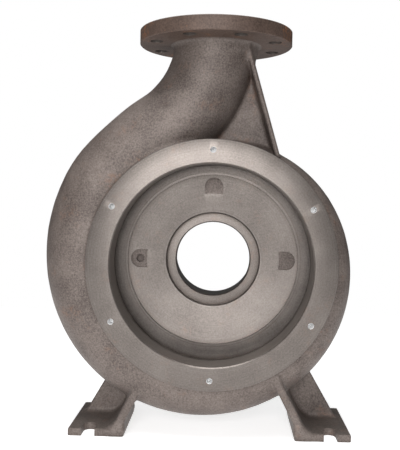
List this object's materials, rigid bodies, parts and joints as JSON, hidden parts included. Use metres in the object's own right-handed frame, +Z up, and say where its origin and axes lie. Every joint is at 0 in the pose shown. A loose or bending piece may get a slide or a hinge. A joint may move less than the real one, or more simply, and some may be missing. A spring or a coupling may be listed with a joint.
{
  "type": "volute pump casing",
  "caption": "Cast iron volute casing of an end-suction pump, with a round cover bore, a curved neck up to a top flange and two leaning feet.",
  "frame": {"origin": "where the shaft axis meets the machined face of the cover ring", "axes": "+X right and +Z up as the cover side is seen; +Y along the shaft towards the suction flange"},
  "size_m": [0.4474, 0.25, 0.585],
  "materials": {
    "cast_iron": "sand-cast skin with machined faces and bores"
  },
  "bodies": {
    "root": {"volute_casing": "cast_iron"}
  },
  "joints": []
}
